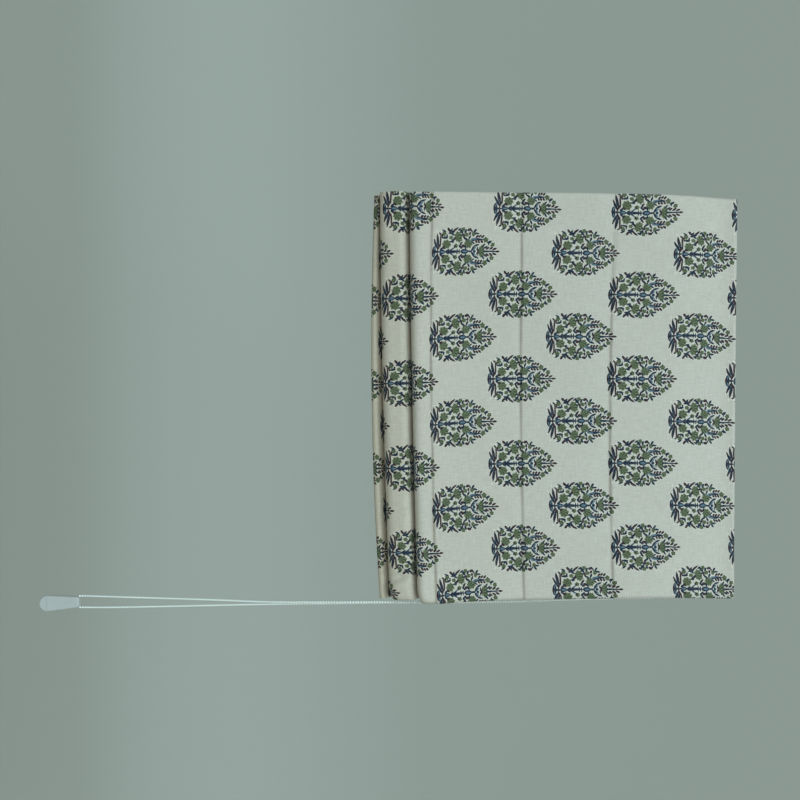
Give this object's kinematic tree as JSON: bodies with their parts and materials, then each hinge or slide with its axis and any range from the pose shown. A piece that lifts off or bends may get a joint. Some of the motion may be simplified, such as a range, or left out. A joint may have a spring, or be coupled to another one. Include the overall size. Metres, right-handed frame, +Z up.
{
  "type": "roman shade on a head board",
  "caption": "Printed linen roman shade, half raised in soft stacked folds, on a plain head board, with a bead chain loop and its tensioner.",
  "frame": {"origin": "the middle of the head board's flat top face, which goes up under a lintel or brackets", "axes": "+Z up, +X along the board to the chain's end, +Y from the room towards the window"},
  "size_m": [0.9285, 0.1475, 1.5626],
  "materials": {
    "printed_linen": "plain-woven linen, block printed",
    "painted_wood": "white satin paint",
    "white_plastic": "moulded, semi-gloss",
    "chain_plastic": "moulded beads, semi-gloss"
  },
  "bodies": {
    "root": {"shade_cloth": "printed_linen", "head_board": "painted_wood", "end_cap": "white_plastic", "chain_drive": "white_plastic", "chain_front": "chain_plastic", "chain_back": "chain_plastic", "tensioner": "white_plastic"}
  },
  "joints": []
}
